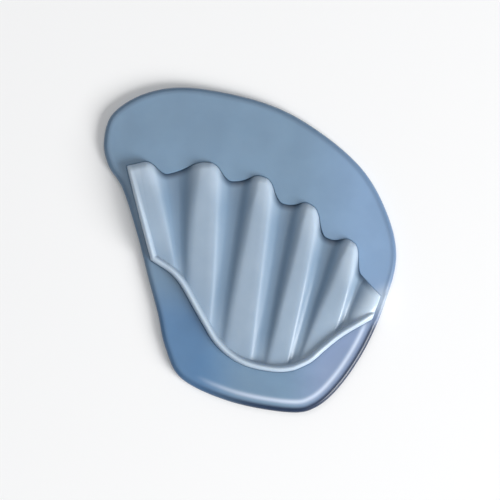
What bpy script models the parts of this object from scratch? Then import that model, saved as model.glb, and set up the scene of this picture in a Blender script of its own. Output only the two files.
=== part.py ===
"""A ribbed gel metatarsal pad for the right foot: a thin base pad with a fan of five ribs let into its top.

+X is towards the outer side of the foot, +Y towards the toes and +Z up.
The origin is on the underside, at the middle of the pad's width and length.
"""

from collections import namedtuple

import bmesh
import bpy
import numpy as np

MM = 0.001

# Plan sizes. Every plan table below holds shares of these two.
PAD_WIDTH = 63.0 * MM
PAD_LENGTH = 70.0 * MM

# Base pad, heights from the surface that it lies on
EDGE_HEIGHT = 2.2 * MM  # top of the base pad near its outer edge
BASE_HEIGHT = 3.1 * MM  # top of the base pad where it is thickest
CROWN_RUN = 13.0 * MM  # distance from the outer edge over which it gets there
EDGE_RADIUS = 0.8 * MM  # rounding of the top outer edge, where the wall beside the pocket allows it
FOOT_RADIUS = 0.4 * MM  # rounding of the bottom outer edge
POCKET_FLOOR = 1.2 * MM  # what is left of the base pad under the fan

# Ribbed fan, heights from its own flat underside
SEAT_GAP = 0.3 * MM  # between the fan and its pocket, below and all round
CHANNEL_FRONT = 1.0 * MM  # thickness under the channels at their front ends
CHANNEL_REAR = 1.6 * MM  # and at their rear ends
CHANNEL_ARCH = 0.8 * MM  # how much thicker the fan is half-way along
RIB_FRONT = 2.3 * MM  # height of a rib above the channels, behind its front end
RIB_REAR = 0.7 * MM  # and at the rear, where the ribs crowd together
TIP_RUN = 2.0 * MM  # length over which the front end of a rib rounds down
TIP_SHARE = 0.4  # share of the rib's height that is left at its very end
BEAD_WIDTH = 1.7 * MM  # raised bead along the fan's rear edge and inner side
BEAD_HEIGHT = 1.9 * MM
END_WIDTH = 5.0 * MM  # low swelling along the fan's outer end
END_HEIGHT = 0.9 * MM
SCALLOP_INNER = 2.6 * MM  # how far the front edge steps back beside the first rib
SCALLOP_OUTER = 4.0 * MM  # and beyond the last one

# Fineness of the solids
OUTLINE_STEPS = 12  # points for each row of the outline table
COLUMNS = 84  # across the fan, between the beads along its sides
ROWS = 11  # along the fan, between its rear bead and the front ends of the ribs
BAND_RINGS = 4  # from the rounded outer edge to the pocket
NEIGHBOURS = 3  # points to each side that a point of the outer edge is evened out with
CLOSE_SHARES = (0, 0.06, 0.18, 0.4, 0.65)  # how points crowd together where a grid needs them
FOOT_TURNS = (0, 45, 90)  # degrees round the bottom outer edge
EDGE_TURNS = (0, 30, 60, 90)  # and round the top one
SHARP_ANGLE = 40  # degrees between faces above which an edge is shaded sharp

# The outer edge, anticlockwise from the toe side, as shares of PAD_WIDTH and PAD_LENGTH
Place = namedtuple("Place", "across along")
OUTLINE = (
    Place(-0.190, 0.500),
    Place(-0.349, 0.486),
    Place(-0.467, 0.423),
    Place(-0.500, 0.336),
    Place(-0.484, 0.260),
    Place(-0.435, 0.188),
    Place(-0.383, 0.040),
    Place(-0.350, -0.080),
    Place(-0.316, -0.194),
    Place(-0.290, -0.300),
    Place(-0.233, -0.397),
    Place(-0.068, -0.467),
    Place(0.130, -0.500),
    Place(0.226, -0.484),
    Place(0.313, -0.413),
    Place(0.398, -0.296),
    Place(0.462, -0.160),
    Place(0.500, -0.023),
    Place(0.470, 0.110),
    Place(0.383, 0.250),
    Place(0.226, 0.372),
    Place(0.052, 0.453),
)
MIDDLE = Place(0.03, -0.14)  # all of the outer edge and of the fan's edge can be seen from here

# The fan's front and rear edges, from the inner side of the foot to the outer side. A turn counts the ribs:
# rib 0 runs straight from turn 0 of the rear edge to turn 0 of the front one, and the channels lie between.
Stop = namedtuple("Stop", "turn across along")

# A line along the tips of the ribs. Between them, and at its outer corner, the edge steps back from it.
FRONT_EDGE = (
    Stop(-0.30, -0.422, 0.259),
    Stop(0.00, -0.365, 0.270),
    Stop(0.50, -0.268, 0.274),
    Stop(1.00, -0.144, 0.269),
    Stop(2.00, 0.048, 0.224),
    Stop(3.00, 0.211, 0.137),
    Stop(4.00, 0.352, 0.024),
    Stop(5.00, 0.468, -0.086),
)
REAR_EDGE = (
    Stop(-0.30, -0.338, -0.031),
    Stop(0.00, -0.279, -0.066),
    Stop(0.27, -0.252, -0.090),
    Stop(0.56, -0.230, -0.119),
    Stop(0.85, -0.194, -0.177),
    Stop(1.13, -0.160, -0.231),
    Stop(1.41, -0.130, -0.276),
    Stop(1.68, -0.095, -0.311),
    Stop(1.94, -0.057, -0.337),
    Stop(2.20, -0.019, -0.354),
    Stop(2.45, 0.017, -0.364),
    Stop(2.71, 0.052, -0.370),
    Stop(3.22, 0.110, -0.374),
    Stop(3.47, 0.137, -0.371),
    Stop(3.72, 0.163, -0.364),
    Stop(3.95, 0.210, -0.343),
    Stop(4.18, 0.254, -0.309),
    Stop(4.62, 0.324, -0.260),
    Stop(5.00, 0.414, -0.213),
)
RIB_TURNS = (-0.06, 4.38)  # beyond these turns the fan's section stays as it is there

# One turn, from the crest of a rib to the next: the height of the top as a share of a rib's, and how far the
# front edge steps back as a share of the scallop's depth
Section = namedtuple("Section", "turn rise back")
RIB_SECTION = (
    Section(0.00, 1.00, 0.00),
    Section(0.08, 1.00, 0.02),
    Section(0.17, 0.88, 0.26),
    Section(0.26, 0.45, 0.72),
    Section(0.36, 0.14, 1.00),
    Section(0.50, 0.00, 0.93),
    Section(0.64, 0.04, 0.68),
    Section(0.74, 0.28, 0.42),
    Section(0.82, 0.68, 0.20),
    Section(0.90, 0.92, 0.06),
    Section(1.00, 1.00, 0.00),
)

BASE_COLOUR = (0.22, 0.34, 0.47, 1.0)
FAN_COLOUR = (0.32, 0.42, 0.53, 1.0)
ROUGHNESS = 0.35


def through(at, table):
    """The values of a cubic curve through the rows of a table, read at places in its first column."""
    stops, values = np.array(table)[:, 0], np.array(table)[:, 1:]
    slopes = np.gradient(values, stops, axis=0)
    i = np.clip(np.searchsorted(stops, at, side="right") - 1, 0, len(stops) - 2)
    span = (stops[i + 1] - stops[i])[..., None]
    t = (at - stops[i])[..., None] / span
    leaving = (1 + 2 * t) * (1 - t) ** 2 * values[i] + t * (1 - t) ** 2 * span * slopes[i]
    arriving = t * t * (3 - 2 * t) * values[i + 1] - t * t * (1 - t) * span * slopes[i + 1]
    return leaving + arriving


def section_at(turns):
    """The rise and the step back of the fan's section at each turn."""
    section = np.array(RIB_SECTION)
    one_turn = (1, 0, 0)
    section = np.concatenate([section[-2:-1] - one_turn, section, section[1:2] + one_turn])
    return np.moveaxis(through(np.clip(turns, *RIB_TURNS) % 1, section), -1, 0)


def broadened(turns, power):
    """Turns drawn towards the nearest crest, so that the ribs come out broader as the power grows."""
    crest = np.round(turns)
    off_crest = 2 * (turns - crest)
    return crest + np.sign(off_crest) * np.abs(off_crest) ** power / 2


def closed_curve(table, steps):
    """A smooth closed curve through the places of a table, with that many points for each of them."""
    places = np.array(table)
    slopes = (np.roll(places, -1, axis=0) - np.roll(places, 1, axis=0)) / 2
    next_places, next_slopes = np.roll(places, -1, axis=0), np.roll(slopes, -1, axis=0)
    t = np.linspace(0, 1, steps, endpoint=False)[:, None, None]
    leaving = (1 + 2 * t) * (1 - t) ** 2 * places + t * (1 - t) ** 2 * slopes
    arriving = t * t * (3 - 2 * t) * next_places - t * t * (1 - t) * next_slopes
    return (leaving + arriving).transpose(1, 0, 2).reshape(-1, 2)


def ease(share):
    """Goes from 0 to 1 as share does, level at both ends."""
    share = np.clip(share, 0, 1)
    return share * share * (3 - 2 * share)


def arch(distance, width):
    """Half an ellipse, 1 high, over the stretch from 0 to width."""
    return np.sqrt(1 - np.clip(2 * distance / width - 1, -1, 1) ** 2)


def round_over(distance, radius):
    """Rises from 0 to 1 like a quarter circle as distance goes from 0 to radius, and stays there."""
    return np.sqrt(1 - np.clip(1 - distance / radius, 0, 1) ** 2)


def distance_to(line, points):
    """How far each point of a grid or list lies from a run of straight lines."""
    starts, along = line[:-1], np.diff(line, axis=0)
    away = points[..., None, :] - starts
    share = np.clip((away * along).sum(-1) / (along * along).sum(-1), 0, 1)
    return np.linalg.norm(away - share[..., None] * along, axis=-1).min(-1)


def moved_outwards(loop, distance):
    """A closed anticlockwise loop of points, each moved by a distance along its normal."""
    tangents = np.roll(loop, -1, axis=0) - np.roll(loop, 1, axis=0)
    normals = np.stack([tangents[:, 1], -tangents[:, 0]], axis=1)
    return loop + distance * normals / np.linalg.norm(normals, axis=1)[:, None]


def border_of(grid):
    """The points round a grid, anticlockwise from its outer front corner."""
    return np.concatenate([grid[-1, ::-1], grid[-2:0:-1, 0], grid[0], grid[1:-1, -1]])


def in_metres(shares):
    """Plan shares in metres, with the middle of the outline's box at the origin."""
    outline = closed_curve(OUTLINE, OUTLINE_STEPS)
    low, high = outline.min(0), outline.max(0)
    return (shares - (low + high) / 2) / (high - low) * (PAD_WIDTH, PAD_LENGTH)


def spaced(start, end, count):
    """Shares from 0 to 1, evenly spaced in the middle and closer together in the stretches start and end."""
    close = np.array(CLOSE_SHARES)
    at_start, at_end = np.multiply.outer(close, start), 1 - np.multiply.outer(close[::-1], end)
    return np.concatenate([at_start, np.linspace(start, 1 - end, count), at_end])


def in_directions(steps):
    """Plan vectors cut to a length of one."""
    return steps / np.linalg.norm(steps, axis=1)[:, None]


def fan_layout():
    """The turn of each column of the fan's grid, and the grid's points in rows from the back to the front.

    The points lie closer together under the bead and at the tips of the ribs, where the height changes fast.
    """
    first, last = FRONT_EDGE[0].turn, FRONT_EDGE[-1].turn
    turns = first + (last - first) * spaced(0.035, 0.035, COLUMNS)
    rear, tips = in_metres(through(turns, REAR_EDGE)), in_metres(through(turns, FRONT_EDGE))
    forwards = in_directions(tips - rear)
    _, back = section_at(turns)
    depth = np.interp(turns, RIB_TURNS, (SCALLOP_INNER, SCALLOP_OUTER))
    front = tips - forwards * (depth * back)[:, None]

    length = np.linalg.norm(front - rear, axis=1)
    rear_line = in_directions(np.gradient(rear, axis=0))
    squareness = np.abs(rear_line[:, 0] * forwards[:, 1] - rear_line[:, 1] * forwards[:, 0])
    bead_run = np.minimum(1.2 * BEAD_WIDTH / squareness, length / 2)
    along = spaced(bead_run / length, TIP_RUN / length, ROWS)
    return turns, rear + (front - rear) * along[..., None]


def fan_heights(turns, grid):
    """The thickness of the fan at each point of its grid."""
    from_front = distance_to(grid[-1], grid)
    from_rear = distance_to(grid[0], grid)
    from_rim = np.minimum(from_rear, distance_to(grid[:, 0], grid))
    from_outer_end = distance_to(grid[:, -1], grid)
    along = from_rear / (from_rear + from_front)
    tips = TIP_SHARE + (1 - TIP_SHARE) * round_over(from_front, TIP_RUN)
    rise, _ = section_at(broadened(turns, 2 - along))
    ribs = (RIB_REAR + (RIB_FRONT - RIB_REAR) * ease(along)) * rise * tips
    ribs *= round_over(np.minimum(from_rim, from_outer_end), BEAD_WIDTH / 2)

    outer_end = ease((turns - RIB_TURNS[1]) / (FRONT_EDGE[-1].turn - RIB_TURNS[1]))
    channel_front = CHANNEL_FRONT + (CHANNEL_REAR - CHANNEL_FRONT) * outer_end
    channels = CHANNEL_REAR + (channel_front - CHANNEL_REAR) * along + CHANNEL_ARCH * np.sin(np.pi * along)
    bead = BEAD_HEIGHT * arch(from_rim, BEAD_WIDTH)
    swelling = END_HEIGHT * arch(from_outer_end, END_WIDTH) * round_over(from_rim, BEAD_WIDTH)
    return channels + np.maximum(ribs, np.maximum(bead, swelling) * tips)


def base_heights(edge, points):
    """The height of the base pad's top, which falls away in a low crown towards its outer edge."""
    from_edge = distance_to(np.concatenate([edge, edge[:1]]), points)
    return EDGE_HEIGHT + (BASE_HEIGHT - EDGE_HEIGHT) * ease(from_edge / CROWN_RUN)


def add_row(solid, places, heights):
    """A row of new vertices over plan places, at one height or at one for each."""
    heights = np.broadcast_to(heights, len(places))
    return [solid.verts.new((across, along, height)) for (across, along), height in zip(places, heights)]


def add_object(name, solid, colour):
    """A named object from a bmesh, with its open ends capped and its own soft, slightly shiny material."""
    caps = bmesh.ops.holes_fill(solid, edges=[edge for edge in solid.edges if edge.is_boundary])
    bmesh.ops.triangulate(solid, faces=caps["faces"])
    bmesh.ops.recalc_face_normals(solid, faces=solid.faces)
    mesh = bpy.data.meshes.new(name)
    solid.to_mesh(mesh)
    solid.free()
    mesh.shade_smooth()
    mesh.set_sharp_from_angle(angle=np.radians(SHARP_ANGLE))
    material = bpy.data.materials.new(name)
    material.use_nodes = True
    surface = material.node_tree.nodes["Principled BSDF"]
    surface.inputs["Base Color"].default_value = colour
    surface.inputs["Roughness"].default_value = ROUGHNESS
    mesh.materials.append(material)
    bpy.context.scene.collection.objects.link(bpy.data.objects.new(name, mesh))


def join_rows(solid, rows):
    """Quads between each row of vertices and the next."""
    for row, following in zip(rows, rows[1:]):
        for k in range(len(row) - 1):
            solid.faces.new((row[k], row[k + 1], following[k + 1], following[k]))


def add_ribbed_fan(turns, grid):
    """The fan: a gridded ribbed top whose border is drawn straight down to a flat underside."""
    solid = bmesh.new()
    underside = POCKET_FLOOR + SEAT_GAP
    heights = underside + fan_heights(turns, grid)
    join_rows(solid, [add_row(solid, places, row) for places, row in zip(grid, heights)])
    skirt = bmesh.ops.extrude_edge_only(solid, edges=[edge for edge in solid.edges if edge.is_boundary])
    for part in skirt["geom"]:
        if isinstance(part, bmesh.types.BMVert):
            part.co.z = underside
    add_object("ribbed_fan", solid, FAN_COLOUR)


def edge_opposite(places):
    """The point of the outer edge beyond each place of a loop, seen from the middle of the pad.

    The bearings are averaged with their neighbours', so the points lie evenly also beyond the fan's corners.
    """
    middle = in_metres(np.array(MIDDLE))
    outline = in_metres(closed_curve(OUTLINE, OUTLINE_STEPS)) - middle
    bearings = np.arctan2(outline[:, 1], outline[:, 0])
    towards = np.unwrap(np.arctan2(places[:, 1] - middle[1], places[:, 0] - middle[0]))
    even = towards[0] + np.linspace(0, 2 * np.pi, len(places), endpoint=False)
    neighbours = np.arange(-NEIGHBOURS, NEIGHBOURS + 1)
    towards = even + np.mean([np.roll(towards - even, k) for k in neighbours], axis=0)
    radius = np.interp(towards, bearings, np.hypot(outline[:, 0], outline[:, 1]), period=2 * np.pi)
    return middle + radius[:, None] * np.stack([np.cos(towards), np.sin(towards)], axis=1)


def add_base_pad(grid):
    """The base pad: rings from its underside up its outer edge, over its top and down into the pocket."""
    pocket = moved_outwards(border_of(grid), SEAT_GAP)
    edge = edge_opposite(pocket)
    wall = distance_to(np.concatenate([edge, edge[:1]]), pocket).min()
    edge_radius = min(EDGE_RADIUS, 0.8 * wall)

    rings = []
    for turn in np.radians(FOOT_TURNS):
        ring = moved_outwards(edge, FOOT_RADIUS * (np.sin(turn) - 1))
        rings.append((ring, FOOT_RADIUS * (1 - np.cos(turn))))
    for turn in np.radians(EDGE_TURNS):
        ring = moved_outwards(edge, edge_radius * (np.cos(turn) - 1))
        rings.append((ring, base_heights(edge, ring) + edge_radius * (np.sin(turn) - 1)))
    shoulder = ring
    for share in np.linspace(0, 1, BAND_RINGS + 1)[1:]:
        ring = shoulder + (pocket - shoulder) * share
        rings.append((ring, base_heights(edge, ring)))
    rings.append((pocket, POCKET_FLOOR))

    solid = bmesh.new()
    loops = [add_row(solid, places, heights) for places, heights in rings]
    join_rows(solid, [loop + loop[:1] for loop in loops])
    add_object("base_pad", solid, BASE_COLOUR)


def main():
    for old in list(bpy.data.objects):
        bpy.data.objects.remove(old, do_unlink=True)
    turns, grid = fan_layout()
    add_base_pad(grid)
    add_ribbed_fan(turns, grid)


main()
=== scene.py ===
"""How a ribbed gel metatarsal pad looks, lying on a white floor and seen from straight above.

It is a smooth base pad with a ribbed fan let into its top, both of soft, slightly see-through silicone; the
fan's pale ribs and rim are painted light and its dark channels painted shade.
+X is towards the outer side of the foot, +Y towards the toes and +Z up, in metres.
"""

from collections import namedtuple

import bmesh
import bpy
import numpy as np
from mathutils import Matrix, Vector, noise


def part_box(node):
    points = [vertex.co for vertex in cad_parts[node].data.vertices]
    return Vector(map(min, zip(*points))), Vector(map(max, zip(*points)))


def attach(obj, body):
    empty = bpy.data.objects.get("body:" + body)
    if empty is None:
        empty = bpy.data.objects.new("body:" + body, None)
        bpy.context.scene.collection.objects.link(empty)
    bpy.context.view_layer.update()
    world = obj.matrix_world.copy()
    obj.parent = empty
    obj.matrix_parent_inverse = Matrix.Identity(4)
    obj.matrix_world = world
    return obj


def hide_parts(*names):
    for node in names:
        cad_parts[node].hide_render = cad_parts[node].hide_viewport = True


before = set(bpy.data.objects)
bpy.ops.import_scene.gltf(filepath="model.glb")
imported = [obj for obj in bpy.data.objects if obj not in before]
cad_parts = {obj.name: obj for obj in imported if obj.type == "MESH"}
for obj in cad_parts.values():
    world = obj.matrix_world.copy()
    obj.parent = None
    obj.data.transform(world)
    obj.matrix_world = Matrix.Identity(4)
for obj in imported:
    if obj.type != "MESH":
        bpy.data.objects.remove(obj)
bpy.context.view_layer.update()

MM = 0.001
LOW, HIGH = (np.array(corner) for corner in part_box("base_pad"))
PAD_WIDTH, PAD_LENGTH = (HIGH - LOW)[:2]
PAD_MIDDLE = (HIGH + LOW)[:2] / 2
BASE_HEIGHT = HIGH[2]
FAN_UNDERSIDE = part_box("ribbed_fan")[0].z

# Base pad
EDGE_HEIGHT = 2.2 * MM  # top of the base pad near its outer edge
CROWN_RUN = 13.0 * MM  # distance from the outer edge over which it reaches its full height
EDGE_RADIUS = 1.0 * MM  # rounding of the top outer edge
EDGE_ROOM = 0.5  # the most that it takes of the room beside the fan
FOOT_RADIUS = 0.45 * MM  # rounding of the bottom outer edge
SHOULDER_RADIUS = 0.2 * MM  # rounding of the top edge round the fan
SHOULDER_ROOM = 0.3  # the most that it takes of that room
SEAM = 0.03 * MM  # hairline between the fan and the base pad

# Ribbed fan, heights from its own flat underside
CHANNEL_FRONT = 0.8 * MM  # thickness under the channels at their front ends
CHANNEL_REAR = 1.6 * MM  # and at their rear ends
CHANNEL_ARCH = 0.7 * MM  # how much thicker the fan is half-way along
RIB_FRONT = 2.35 * MM  # height of a rib above the channels, behind its front end
RIB_REAR = 0.6 * MM  # and at the rear, where the ribs crowd together
TIP_RUN = 1.6 * MM  # length over which the front end of a rib rounds down
TIP_SHARE = 0.4  # share of the rib's height that is left at its very end
BEAD_WIDTH = 1.6 * MM  # raised bead along the fan's rear edge and inner side
BEAD_HEIGHT = 1.9 * MM
BEAD_END_RUN = 4.0 * MM  # length over which the bead comes down at the outer end
BEAD_END_SHARE = 0.45  # share of its height that is left there
END_WIDTH = 5.0 * MM  # low swelling along the fan's outer end
END_HEIGHT = 0.9 * MM
SCALLOP_INNER = 2.6 * MM  # how far the front edge steps back beside the first rib
SCALLOP_OUTER = 4.0 * MM  # and beyond the last one

# Colour of the fan: painted light and shade
REAR_FADE_INNER = 5.5 * MM  # run over which the painted light and shade of ribs and channels go over to one tone at the rear, beside the first rib
REAR_FADE_OUTER = 11.0 * MM  # and beyond the last one
REAR_TONE_INNER = 0.45  # that tone, from 0 for a channel's painted shade to 1 for a crest's painted light, beside the first rib
REAR_TONE_OUTER = 1.0  # and beyond the last one
RIM_HIGHLIGHT = 0.8  # how far the bead goes towards the pale of a painted highlight
TIP_HIGHLIGHT = 0.6  # and the front ends of the ribs, with a painted highlight too
TIP_HIGHLIGHT_RUN = 6.0 * MM
END_HIGHLIGHT_RUN = 5.0 * MM  # width of the painted highlight at the outer end, which reaches on to the base pad
CREASE_SHADE_RUN = 1.6 * MM  # painted shade in the crease where the base pad steps down into the front end of a channel

# Painted shade and highlight on the base pad, measured in from its outer edge
WALL_SHADE_RUN = 1.6 * MM  # width of the painted shade on the outer wall, partly the deeper blue of gel seen edge-on
WALL_SHADE_SHARE = 0.3  # how much of that painted shade the wall has away from the tab
LINE_PLACE = 2.4 * MM  # painted highlight line inside the wall's painted shade, along the tab
LINE_WIDTH = 0.45 * MM
LINE_TOP = -14.5 * MM  # the line starts here and runs round the rear of the tab
LINE_FADE = 3.0 * MM
LINE_SIDE = (0.6, -0.8)  # the painted highlight line and the deepest painted wall shade are on the side that faces this way
LINE_CUT = 0.35  # cosine of the angle off that way where they start
LINE_CUT_RUN = 0.4

# Slow unevenness of moulded gel
WAVE_SIZE = 7.0 * MM
WAVE_HEIGHT = 0.035 * MM
BASE_SEED = 0.0
FAN_SEED = 3.0

# Fineness of the meshes
OUTLINE_STEPS = 40  # points for each row of the outline table
COLUMNS = 330  # across the fan
ROWS = 150  # along it
SIDE_SHARE = 0.05  # share of the fan's width at each side where the columns lie closer together
BEAD_SHARE = 1.2  # widths of the bead, from the rear edge, over which the rows do so too
CLOSENESS = 1.3  # how strongly points crowd together there
FOOT_RINGS = 6  # round the bottom outer edge
EDGE_RINGS = 12  # round the top one
BAND_RINGS = 29  # from there to the rounding round the fan
SHOULDER_RINGS = 7  # round that
NEIGHBOURS = 14  # points to each side that a point of the outer edge is evened out with
BATCH = 4000  # points measured at a time, to save memory

# The outer edge, anticlockwise from the toe side, as shares of the pad's width and length
Place = namedtuple("Place", "across along")
OUTLINE = (
    Place(-0.190, 0.500),
    Place(-0.349, 0.486),
    Place(-0.467, 0.423),
    Place(-0.500, 0.336),
    Place(-0.484, 0.260),
    Place(-0.435, 0.188),
    Place(-0.383, 0.040),
    Place(-0.350, -0.080),
    Place(-0.316, -0.194),
    Place(-0.290, -0.300),
    Place(-0.233, -0.397),
    Place(-0.068, -0.467),
    Place(0.130, -0.500),
    Place(0.226, -0.484),
    Place(0.313, -0.413),
    Place(0.398, -0.296),
    Place(0.462, -0.160),
    Place(0.500, -0.023),
    Place(0.470, 0.110),
    Place(0.383, 0.250),
    Place(0.226, 0.372),
    Place(0.052, 0.453),
)
MIDDLE = Place(0.03, -0.14)  # all of the outer edge and of the fan's edge can be seen from here
OUTER_END = Place(0.47, -0.16)  # where the fan's outer end comes closest to the outer edge

# The fan's front and rear edges, from the inner side of the foot to the outer side. A turn counts the ribs:
# rib 0 runs straight from turn 0 of the rear edge to turn 0 of the front one, and the channels lie between.
Stop = namedtuple("Stop", "turn across along")

# A line along the tips of the ribs. Between them, and at its outer corner, the edge steps back from it.
FRONT_EDGE = (
    Stop(-0.30, -0.422, 0.259),
    Stop(0.00, -0.365, 0.270),
    Stop(0.50, -0.268, 0.274),
    Stop(1.00, -0.144, 0.269),
    Stop(2.00, 0.048, 0.224),
    Stop(3.00, 0.211, 0.137),
    Stop(4.00, 0.352, 0.024),
    Stop(5.00, 0.468, -0.086),
)
REAR_EDGE = (
    Stop(-0.30, -0.338, -0.031),
    Stop(0.00, -0.279, -0.066),
    Stop(0.27, -0.252, -0.090),
    Stop(0.56, -0.230, -0.119),
    Stop(0.85, -0.194, -0.177),
    Stop(1.13, -0.160, -0.231),
    Stop(1.41, -0.130, -0.276),
    Stop(1.68, -0.095, -0.311),
    Stop(1.94, -0.057, -0.337),
    Stop(2.20, -0.019, -0.354),
    Stop(2.45, 0.017, -0.364),
    Stop(2.71, 0.052, -0.370),
    Stop(3.22, 0.110, -0.374),
    Stop(3.47, 0.137, -0.371),
    Stop(3.72, 0.163, -0.364),
    Stop(3.95, 0.210, -0.343),
    Stop(4.18, 0.254, -0.309),
    Stop(4.62, 0.324, -0.260),
    Stop(5.00, 0.414, -0.213),
)
RIB_TURNS = (-0.06, 4.38)  # beyond these turns the fan's section stays as it is there

# One turn, from the crest of a rib to the next: the height of the top as a share of a rib's, its tone of
# painted light and shade from 0 for a shaded channel to 1 for a lit crest, and how far the front edge steps
# back as a share of the scallop's depth
Section = namedtuple("Section", "turn rise tone back")
RIB_SECTION = (
    Section(0.00, 1.00, 0.92, 0.00),
    Section(0.08, 1.00, 1.00, 0.02),
    Section(0.17, 0.88, 0.90, 0.26),
    Section(0.26, 0.45, 0.40, 0.72),
    Section(0.36, 0.14, 0.20, 1.00),
    Section(0.50, 0.00, 0.12, 0.93),
    Section(0.64, 0.04, 0.06, 0.68),
    Section(0.74, 0.28, 0.20, 0.42),
    Section(0.82, 0.68, 0.62, 0.20),
    Section(0.90, 0.92, 0.88, 0.06),
    Section(1.00, 1.00, 0.92, 0.00),
)


def through(at, table):
    """The values of a cubic curve through the rows of a table, read at places in its first column."""
    stops, values = np.array(table)[:, 0], np.array(table)[:, 1:]
    slopes = np.gradient(values, stops, axis=0)
    i = np.clip(np.searchsorted(stops, at, side="right") - 1, 0, len(stops) - 2)
    span = (stops[i + 1] - stops[i])[..., None]
    t = (at - stops[i])[..., None] / span
    leaving = (1 + 2 * t) * (1 - t) ** 2 * values[i] + t * (1 - t) ** 2 * span * slopes[i]
    arriving = t * t * (3 - 2 * t) * values[i + 1] - t * t * (1 - t) * span * slopes[i + 1]
    return leaving + arriving


def section_at(turns):
    """The rise, the tone and the step back of the fan's section at each turn."""
    section = np.array(RIB_SECTION)
    one_turn = (1, 0, 0, 0)
    section = np.concatenate([section[-2:-1] - one_turn, section, section[1:2] + one_turn])
    return np.moveaxis(through(np.clip(turns, *RIB_TURNS) % 1, section), -1, 0)


def closed_curve(table, steps):
    """A smooth closed curve through the places of a table, with that many points for each of them."""
    places = np.array(table)
    slopes = (np.roll(places, -1, axis=0) - np.roll(places, 1, axis=0)) / 2
    next_places, next_slopes = np.roll(places, -1, axis=0), np.roll(slopes, -1, axis=0)
    t = np.linspace(0, 1, steps, endpoint=False)[:, None, None]
    leaving = (1 + 2 * t) * (1 - t) ** 2 * places + t * (1 - t) ** 2 * slopes
    arriving = t * t * (3 - 2 * t) * next_places - t * t * (1 - t) * next_slopes
    return (leaving + arriving).transpose(1, 0, 2).reshape(-1, 2)


OUTLINE_CURVE = closed_curve(OUTLINE, OUTLINE_STEPS)


def ease(share):
    """Goes from 0 to 1 as share does, level at both ends."""
    share = np.clip(share, 0, 1)
    return share * share * (3 - 2 * share)


def round_over(distance, radius):
    """Rises from 0 to 1 like a quarter circle as distance goes from 0 to radius, and stays there."""
    return np.sqrt(1 - np.clip(1 - distance / radius, 0, 1) ** 2)


def distance_to(line, points):
    """How far each point of a grid or list lies from a run of straight lines."""
    starts, along = line[:-1], np.diff(line, axis=0)
    length_squared = (along * along).sum(-1)
    flat = points.reshape(-1, 2)
    found = []
    for batch in np.array_split(flat, max(1, len(flat) // BATCH)):
        away = batch[:, None, :] - starts
        share = np.clip((away * along).sum(-1) / length_squared, 0, 1)
        found.append(np.linalg.norm(away - share[..., None] * along, axis=-1).min(-1))
    return np.concatenate(found).reshape(points.shape[:-1])


def moved_outwards(loop, distance):
    """A closed anticlockwise loop of points, each moved by a distance along its normal."""
    tangents = np.roll(loop, -1, axis=0) - np.roll(loop, 1, axis=0)
    normals = np.stack([tangents[:, 1], -tangents[:, 0]], axis=1)
    return loop + distance * normals / np.linalg.norm(normals, axis=1)[:, None]


def border_of(grid):
    """The points round a grid, anticlockwise from its outer front corner."""
    return np.concatenate([grid[-1, ::-1], grid[-2:0:-1, 0], grid[0], grid[1:-1, -1]])


def in_metres(shares):
    """Plan shares in metres, fitted to the solid's box."""
    low, high = OUTLINE_CURVE.min(0), OUTLINE_CURVE.max(0)
    return PAD_MIDDLE + (shares - (low + high) / 2) / (high - low) * (PAD_WIDTH, PAD_LENGTH)


def spaced(start, end, count):
    """Shares from 0 to 1, evenly spaced in the middle and a third of them in the stretches start and end."""
    close = np.linspace(0, 1, count // 6, endpoint=False) ** CLOSENESS
    at_start, at_end = np.multiply.outer(close, start), 1 - np.multiply.outer(close[::-1], end)
    return np.concatenate([at_start, np.linspace(start, 1 - end, count - 2 * len(close)), at_end])


def in_directions(steps):
    """Plan vectors cut to a length of one."""
    return steps / np.linalg.norm(steps, axis=1)[:, None]


def fan_layout():
    """The turn of each column of the fan's grid, and the grid's points in rows from the back to the front."""
    first, last = FRONT_EDGE[0].turn, FRONT_EDGE[-1].turn
    turns = first + (last - first) * spaced(SIDE_SHARE, SIDE_SHARE, COLUMNS)
    rear, tips = in_metres(through(turns, REAR_EDGE)), in_metres(through(turns, FRONT_EDGE))
    forwards = in_directions(tips - rear)
    _, _, back = section_at(turns)
    depth = np.interp(turns, RIB_TURNS, (SCALLOP_INNER, SCALLOP_OUTER))
    front = tips - forwards * (depth * back)[:, None]

    length = np.linalg.norm(front - rear, axis=1)
    rear_line = in_directions(np.gradient(rear, axis=0))
    squareness = np.abs(rear_line[:, 0] * forwards[:, 1] - rear_line[:, 1] * forwards[:, 0])
    bead_run = np.minimum(BEAD_SHARE * BEAD_WIDTH / squareness, length / 2)
    along = spaced(bead_run / length, TIP_RUN / length, ROWS)
    return turns, rear + (front - rear) * along[..., None]


def broadened(turns, power):
    """Turns drawn towards the nearest crest, so that the ribs come out broader as the power grows."""
    crest = np.round(turns)
    off_crest = 2 * (turns - crest)
    return crest + np.sign(off_crest) * np.abs(off_crest) ** power / 2


def arch(distance, width):
    """Half an ellipse, 1 high, over the stretch from 0 to width."""
    return np.sqrt(1 - np.clip(2 * distance / width - 1, -1, 1) ** 2)


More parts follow.
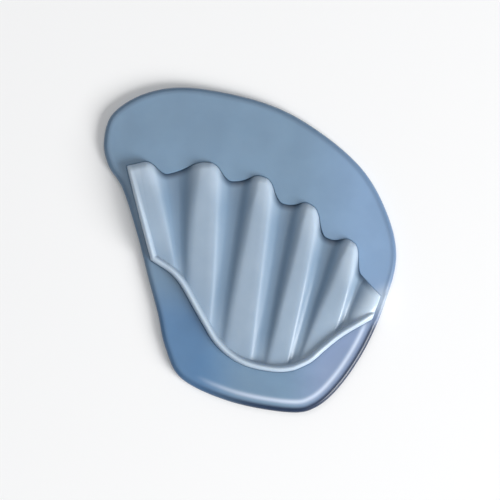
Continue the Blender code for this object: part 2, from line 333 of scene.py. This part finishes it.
def fan_surface(turns, grid):
    """The height of the fan's top, and how much painted crest light, painted highlight on the rim, tips and
    outer end, and painted crease shade each point has.
    """
    from_front = distance_to(grid[-1], grid)
    from_rear = distance_to(grid[0], grid)
    from_rim = np.minimum(from_rear, distance_to(grid[:, 0], grid))
    from_outer_end = distance_to(grid[:, -1], grid)
    along = from_rear / (from_rear + from_front)
    tips = TIP_SHARE + (1 - TIP_SHARE) * round_over(from_front, TIP_RUN)
    rise, tone, _ = section_at(broadened(turns, 2 - along))
    ribs = (RIB_REAR + (RIB_FRONT - RIB_REAR) * ease(along)) * rise * tips
    ribs *= round_over(np.minimum(from_rim, from_outer_end), BEAD_WIDTH / 2)

    outer_end = ease((turns - RIB_TURNS[1]) / (FRONT_EDGE[-1].turn - RIB_TURNS[1]))
    channel_front = CHANNEL_FRONT + (CHANNEL_REAR - CHANNEL_FRONT) * outer_end
    channels = CHANNEL_REAR + (channel_front - CHANNEL_REAR) * along + CHANNEL_ARCH * np.sin(np.pi * along)
    bead_end = BEAD_END_SHARE + (1 - BEAD_END_SHARE) * round_over(from_outer_end, BEAD_END_RUN)
    bead = BEAD_HEIGHT * arch(from_rim, BEAD_WIDTH) * bead_end
    swelling = END_HEIGHT * arch(from_outer_end, END_WIDTH) * round_over(from_rim, BEAD_WIDTH)
    heights = channels + np.maximum(ribs, np.maximum(bead, swelling) * tips)

    # Painted light and shade: lit crests and shaded channels fading to one tone at the rear, painted
    # highlights on the rim, the rib tips and the outer end, and painted shade in the creases at the channels'
    # front ends
    rear_tone = np.interp(turns, RIB_TURNS, (REAR_TONE_INNER, REAR_TONE_OUTER))
    ribbed = ease(from_rear / np.interp(turns, RIB_TURNS, (REAR_FADE_INNER, REAR_FADE_OUTER)))
    painted_tip_highlight = TIP_HIGHLIGHT * tone * (1 - ease(from_front / TIP_HIGHLIGHT_RUN))
    painted_end_highlight = 1 - ease(from_outer_end / END_HIGHLIGHT_RUN)
    shares = {
        "crest": rear_tone + (tone - rear_tone) * ribbed,
        "bead": np.max([RIM_HIGHLIGHT * arch(from_rim, BEAD_WIDTH), painted_tip_highlight, painted_end_highlight], axis=0),
        "crease_shade": (1 - rise) * (1 - outer_end) * (1 - ease(from_front / CREASE_SHADE_RUN)),
    }
    return FAN_UNDERSIDE + heights, shares


def unevenness(points, seed):
    """The slow unevenness of moulded gel at each point, another one for each seed."""
    shift = Vector((seed, 0, 0))
    return np.array([noise.noise(Vector(point) / WAVE_SIZE + shift) for point in points]) * WAVE_HEIGHT


def base_heights(edge, points):
    """The height of the base pad's top, which falls away in a low crown towards its outer edge."""
    from_edge = distance_to(np.concatenate([edge, edge[:1]]), points)
    return EDGE_HEIGHT + (BASE_HEIGHT - EDGE_HEIGHT) * ease(from_edge / CROWN_RUN)


def add_piece(name, points, faces, shares):
    """A smooth mesh object on the root body, with its named shares kept as attributes for the material."""
    mesh = bpy.data.meshes.new(name)
    mesh.from_pydata(points.tolist(), [], faces)
    solid = bmesh.new()
    solid.from_mesh(mesh)
    bmesh.ops.triangulate(solid, faces=[face for face in solid.faces if len(face.verts) > 4])
    solid.to_mesh(mesh)
    solid.free()
    mesh.shade_smooth()
    for label, values in shares.items():
        mesh.attributes.new(label, "FLOAT", "POINT").data.foreach_set("value", values.astype(np.float32))
    piece = bpy.data.objects.new(name, mesh)
    bpy.context.scene.collection.objects.link(piece)
    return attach(piece, "root")


def ring_faces(rings, count):
    """Quads between closed rings of points that follow one another."""
    index = np.arange(rings * count).reshape(rings, count)
    onward = np.roll(index, -1, axis=1)
    return np.stack([index[:-1], onward[:-1], onward[1:], index[1:]], axis=-1).reshape(-1, 4).tolist()


def fan_gel():
    """The fan's ribbed top down to its flat underside."""
    turns, grid = fan_layout()
    heights, shares = fan_surface(turns, grid)
    top = np.dstack([grid, heights]).reshape(-1, 3)
    top[:, 2] += unevenness(top, FAN_SEED)
    index = np.arange(len(top)).reshape(grid.shape[:2])
    quads = np.stack([index[:-1, :-1], index[:-1, 1:], index[1:, 1:], index[1:, :-1]], axis=-1)
    rim = border_of(index)
    foot = len(top) + np.arange(len(rim))
    sides = np.stack([rim, foot, np.roll(foot, -1), np.roll(rim, -1)], axis=-1)
    underside = np.column_stack([border_of(grid), np.full(len(rim), FAN_UNDERSIDE)])
    faces = quads.reshape(-1, 4).tolist() + sides.tolist() + [foot[::-1].tolist()]
    shares = {label: np.append(values.ravel(), np.zeros(len(rim))) for label, values in shares.items()}
    piece = add_piece("ribbed_fan_gel", np.concatenate([top, underside]), faces, shares)
    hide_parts("ribbed_fan")
    return piece, grid


def edge_opposite(places):
    """The point of the outer edge beyond each place of a loop, seen from the middle of the pad.

    The bearings are averaged with their neighbours', so the points lie evenly also beyond the fan's corners.
    """
    middle = in_metres(np.array(MIDDLE))
    outline = in_metres(OUTLINE_CURVE) - middle
    bearings = np.arctan2(outline[:, 1], outline[:, 0])
    towards = np.unwrap(np.arctan2(places[:, 1] - middle[1], places[:, 0] - middle[0]))
    even = towards[0] + np.linspace(0, 2 * np.pi, len(places), endpoint=False)
    neighbours = np.arange(-NEIGHBOURS, NEIGHBOURS + 1)
    towards = even + np.mean([np.roll(towards - even, k) for k in neighbours], axis=0)
    radius = np.interp(towards, bearings, np.hypot(outline[:, 0], outline[:, 1]), period=2 * np.pi)
    return middle + radius[:, None] * np.stack([np.cos(towards), np.sin(towards)], axis=1)


def base_shares(edge, points, rings):
    """How much painted shade on the outer wall, painted highlight line inside it and painted highlight at the
    outer end each point has.
    """
    outwards = np.tile(moved_outwards(edge, 1) - edge, (rings, 1))
    from_edge = distance_to(np.concatenate([edge, edge[:1]]), points[:, :2])
    tab = ease((outwards @ LINE_SIDE - LINE_CUT) / LINE_CUT_RUN) * ease((LINE_TOP - points[:, 1]) / LINE_FADE)
    from_outer_end = np.linalg.norm(points[:, :2] - in_metres(np.array(OUTER_END)), axis=1)
    # Painted shade on the outer wall, deepest on the tab's side, a painted highlight line inside it there,
    # and a painted highlight at the outer end
    return {
        "wall_shade": (WALL_SHADE_SHARE + (1 - WALL_SHADE_SHARE) * tab) * (1 - ease(2 * from_edge / WALL_SHADE_RUN - 1)),
        "line": tab * np.exp(-(((from_edge - LINE_PLACE) / LINE_WIDTH) ** 2)),
        "end_highlight": 1 - ease(from_outer_end / END_HIGHLIGHT_RUN),
    }


def base_gel(grid):
    """The base pad: rings from its underside up its outer edge, over its top and down into the pocket."""
    pocket = moved_outwards(border_of(grid), SEAM)
    edge = edge_opposite(pocket)
    room = distance_to(np.concatenate([edge, edge[:1]]), pocket)[:, None]
    edge_radius = np.minimum(EDGE_RADIUS, EDGE_ROOM * room)
    shoulder_radius = np.minimum(SHOULDER_RADIUS, SHOULDER_ROOM * room)
    rings = []
    for turn in np.radians(np.linspace(0, 90, FOOT_RINGS)):
        ring = moved_outwards(edge, FOOT_RADIUS * (np.sin(turn) - 1))
        rings.append((ring, FOOT_RADIUS * (1 - np.cos(turn))))
    for turn in np.radians(np.linspace(0, 90, EDGE_RINGS)):
        ring = moved_outwards(edge, edge_radius * (np.cos(turn) - 1))
        rings.append((ring, base_heights(edge, ring) + edge_radius[:, 0] * (np.sin(turn) - 1)))
    outer = ring
    shoulder = moved_outwards(pocket, shoulder_radius)
    for share in np.linspace(0, 1, BAND_RINGS + 1)[1:]:
        ring = outer + (shoulder - outer) * share
        rings.append((ring, base_heights(edge, ring)))
    for turn in np.radians(np.linspace(0, 90, SHOULDER_RINGS + 1)[1:]):
        ring = pocket + (shoulder - pocket) * (1 - np.sin(turn))
        rings.append((ring, base_heights(edge, ring) - shoulder_radius[:, 0] * (1 - np.cos(turn))))
    rings.append((pocket, FAN_UNDERSIDE - SEAM))

    count = len(pocket)
    loops = [np.column_stack([ring, np.broadcast_to(height, count)]) for ring, height in rings]
    points = np.concatenate(loops)
    lifted = points[:, 2] > EDGE_HEIGHT / 2
    points[lifted, 2] += unevenness(points[lifted], BASE_SEED)
    faces = ring_faces(len(rings), count)
    faces.append(np.arange(count)[::-1].tolist())
    faces.append(((len(rings) - 1) * count + np.arange(count)).tolist())
    piece = add_piece("base_pad_gel", points, faces, base_shares(edge, points, len(rings)))
    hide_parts("base_pad")
    return piece


class Shader:
    """A material's node tree, built one node at a time."""

    def __init__(self, name):
        self.material = bpy.data.materials.new(name)
        self.material.use_nodes = True
        self.nodes = self.material.node_tree.nodes
        self.links = self.material.node_tree.links
        self.surface = self.nodes["Principled BSDF"]

    def node(self, kind, inputs=(), **settings):
        made = self.nodes.new(kind)
        for name, value in settings.items():
            setattr(made, name, value)
        for socket, value in dict(inputs).items():
            if isinstance(value, bpy.types.NodeSocket):
                self.links.new(value, made.inputs[socket])
            else:
                made.inputs[socket].default_value = value
        return made

    def share(self, name):
        """A named attribute of the mesh."""
        return self.node("ShaderNodeAttribute", attribute_name=name).outputs["Fac"]

    def mix(self, share, first, second):
        """A colour between two others. Sockets 6 and 7 of the node are its colours A and B."""
        return self.node("ShaderNodeMix", {0: share, 6: first, 7: second}, data_type="RGBA").outputs[2]

    def times(self, first, second):
        """The product of two values."""
        return self.node("ShaderNodeMath", {0: first, 1: second}, operation="MULTIPLY").outputs[0]

    def stretch(self, value, low, high, to_low=0.0, to_high=1.0):
        """A value mapped from one range to another, and kept inside it."""
        inputs = {"Value": value, "From Min": low, "From Max": high, "To Min": to_low, "To Max": to_high}
        return self.node("ShaderNodeMapRange", inputs, interpolation_type="SMOOTHSTEP").outputs["Result"]

    def noise(self, size, detail=2.0):
        """Smooth noise with features of a real size."""
        place = self.node("ShaderNodeTexCoord").outputs["Object"]
        inputs = {"Vector": place, "Scale": 1 / size, "Detail": detail}
        return self.node("ShaderNodeTexNoise", inputs).outputs["Fac"]

    def place(self):
        """The three coordinates of a point of the object, in metres."""
        place = self.node("ShaderNodeTexCoord").outputs["Object"]
        return self.node("ShaderNodeSeparateXYZ", {"Vector": place}).outputs


def linear(red, green, blue):
    """A colour given as it shows on a screen, from 0 to 255."""
    shares = [value / 255 for value in (red, green, blue)]
    return (*[s / 12.92 if s <= 0.04045 else ((s + 0.055) / 1.055) ** 2.4 for s in shares], 1.0)


BAND_BLUE = linear(119, 148, 174)
BAND_PALE = linear(130, 160, 194)
TAB_BLUE = linear(88, 128, 168)
TAB_LILAC = linear(134, 152, 183)
# Painted shade on the outer wall, also the deep blue that the clouds in the base pad go towards
WALL_SHADE_AND_CLOUD_BLUE = linear(28, 46, 74)
# Painted highlight line along the tab
HIGHLIGHT_LINE_PALE = linear(205, 218, 238)
# Painted shade in the channels, also the grey that the clouds in the fan go towards
CHANNEL_SHADE_AND_CLOUD_GREY = linear(110, 137, 163)
# Painted shade in the creases at the channels' front ends
CREASE_SHADE_GREY = linear(48, 68, 90)
# Painted light on the ribs
RIB_LIT_PALE = linear(158, 177, 196)
# Painted highlight on the rim, the rib tips and the outer end
PAINTED_HIGHLIGHT_PALE = linear(196, 211, 225)
FLOOR_WHITE = (0.9, 0.9, 0.9, 1.0)
SURROUND_WHITE = (0.95, 0.97, 1.0, 1.0)

# Where the base pad's colours pass into one another: the places where each change starts and is complete
BAND_CHANGE = (8 * MM, 28 * MM)  # across, from the middle of the band to its outer side
TAB_CHANGE = (-4 * MM, -16 * MM)  # along, from the band to the tab
INNER_CHANGE = (0 * MM, -12 * MM)  # across, to the tab's inner side
OUTER_CHANGE = (6 * MM, 18 * MM)  # across, to the tab's outer side

# Fine grain and slow clouds in the gel
GRAIN_SIZE = 0.25 * MM
GRAIN_DEPTH = 0.03 * MM
GRAIN_STRENGTH = 0.12
GLOSS_SIZE = 4 * MM
GLOSS_NOISE = (0.3, 0.7)
ROUGHNESS = (0.36, 0.48)
CLOUD_NOISE = (0.35, 0.65)
BASE_CLOUD_SIZE = 9 * MM
BASE_CLOUD_DEPTH = 0.08
FAN_CLOUD_SIZE = 6 * MM
FAN_CLOUD_DEPTH = 0.12


def silicone(shader, colour):
    """Soft gel: light spreads a little way inside it, and its skin has a faint gloss and a fine grain."""
    surface = shader.surface.inputs
    shader.links.new(colour, surface["Base Color"])
    surface["Subsurface Weight"].default_value = 0.25
    surface["Subsurface Radius"].default_value = (0.7, 0.9, 1.2)
    surface["Subsurface Scale"].default_value = 1.5 * MM
    surface["IOR"].default_value = 1.41
    surface["Coat Weight"].default_value = 0.35
    surface["Coat Roughness"].default_value = 0.2
    surface["Coat IOR"].default_value = 1.45
    roughness = shader.stretch(shader.noise(GLOSS_SIZE), *GLOSS_NOISE, *ROUGHNESS)
    shader.links.new(roughness, surface["Roughness"])
    grain = shader.noise(GRAIN_SIZE, detail=3.0)
    bump = {"Height": grain, "Strength": GRAIN_STRENGTH, "Distance": GRAIN_DEPTH}
    shader.links.new(shader.node("ShaderNodeBump", bump).outputs["Normal"], surface["Normal"])
    return shader.material


def base_material():
    """Blue-grey gel, bluer at the inner side of the tab and lilac at its outer side, with a painted highlight
    at the outer end.

    Its outer wall carries painted shade, partly the deeper blue of gel seen edge-on, and a painted highlight
    line runs inside that along the tab.
    """
    shader = Shader("base_gel")
    across, along, _ = shader.place()
    colour = shader.mix(shader.stretch(across, *BAND_CHANGE), BAND_BLUE, BAND_PALE)
    tab = shader.stretch(along, *TAB_CHANGE)
    inner, outer = shader.stretch(across, *INNER_CHANGE), shader.stretch(across, *OUTER_CHANGE)
    colour = shader.mix(shader.times(tab, inner), colour, TAB_BLUE)
    colour = shader.mix(shader.times(tab, outer), colour, TAB_LILAC)
    # Painted highlights at the outer end and along the tab, and painted shade on the outer wall
    colour = shader.mix(shader.share("end_highlight"), colour, PAINTED_HIGHLIGHT_PALE)
    colour = shader.mix(shader.share("line"), colour, HIGHLIGHT_LINE_PALE)
    colour = shader.mix(shader.share("wall_shade"), colour, WALL_SHADE_AND_CLOUD_BLUE)
    cloud = shader.stretch(shader.noise(BASE_CLOUD_SIZE, detail=3.0), *CLOUD_NOISE, 0.0, BASE_CLOUD_DEPTH)
    return silicone(shader, shader.mix(cloud, colour, WALL_SHADE_AND_CLOUD_BLUE))


def fan_material():
    """Gel with painted light and shade: grey-blue painted shade in the channels, pale painted light on the
    ribs, palest painted highlight on the rim, the rib tips and the outer end, and dark painted shade in the
    creases.
    """
    shader = Shader("fan_gel")
    # Painted shade in the channels and light on the crests, painted highlights on the rim, tips and outer
    # end, and painted shade in the creases
    colour = shader.mix(shader.share("crest"), CHANNEL_SHADE_AND_CLOUD_GREY, RIB_LIT_PALE)
    colour = shader.mix(shader.share("bead"), colour, PAINTED_HIGHLIGHT_PALE)
    colour = shader.mix(shader.share("crease_shade"), colour, CREASE_SHADE_GREY)
    cloud = shader.stretch(shader.noise(FAN_CLOUD_SIZE, detail=3.0), *CLOUD_NOISE, 0.0, FAN_CLOUD_DEPTH)
    return silicone(shader, shader.mix(cloud, colour, CHANNEL_SHADE_AND_CLOUD_GREY))


# The room: softboxes turned towards the pad, a white surround, the floor and the camera
Softbox = namedtuple("Softbox", "name place size power")
SOFTBOXES = (
    Softbox("key_light", (1.06, -0.74, 0.70), 0.75, 28.0),
    Softbox("top_light", (-0.25, 0.63, 2.25), 2.25, 18.5),
)
SURROUND_STRENGTH = 0.23
FLOOR_REACH = 1.5  # from the middle to each side
FLOOR_ROUGHNESS = 0.9
CAMERA_PLACE = (0, 0, 0.36)
CAMERA_LENS = 120  # focal length in mm


def floor():
    """A plain white floor."""
    corners = [(x * FLOOR_REACH, y * FLOOR_REACH, 0) for x, y in ((-1, -1), (1, -1), (1, 1), (-1, 1))]
    mesh = bpy.data.meshes.new("floor")
    mesh.from_pydata(corners, [], [(0, 1, 2, 3)])
    ground = bpy.data.objects.new("floor", mesh)
    bpy.context.scene.collection.objects.link(ground)
    shader = Shader("floor_white")
    shader.surface.inputs["Base Color"].default_value = FLOOR_WHITE
    shader.surface.inputs["Roughness"].default_value = FLOOR_ROUGHNESS
    mesh.materials.append(shader.material)


def light_and_camera():
    """Softboxes to the right and above, a white surround, and a long lens straight above the pad."""
    scene = bpy.context.scene
    for name, place, size, power in SOFTBOXES:
        lamp = bpy.data.lights.new(name, "AREA")
        lamp.size = size
        lamp.energy = power
        holder = bpy.data.objects.new(name, lamp)
        holder.location = place
        holder.rotation_euler = Vector(place).to_track_quat("Z", "Y").to_euler()
        scene.collection.objects.link(holder)
    world = bpy.data.worlds.new("surround")
    world.use_nodes = True
    world.node_tree.nodes["Background"].inputs["Color"].default_value = SURROUND_WHITE
    world.node_tree.nodes["Background"].inputs["Strength"].default_value = SURROUND_STRENGTH
    scene.world = world
    lens = bpy.data.cameras.new("camera")
    lens.lens = CAMERA_LENS
    camera = bpy.data.objects.new("camera", lens)
    camera.location = CAMERA_PLACE
    scene.collection.objects.link(camera)
    scene.camera = camera
    scene.view_settings.view_transform = "Standard"


fan, fan_grid = fan_gel()
fan.data.materials.append(fan_material())
base = base_gel(fan_grid)
base.data.materials.append(base_material())
floor()
light_and_camera()
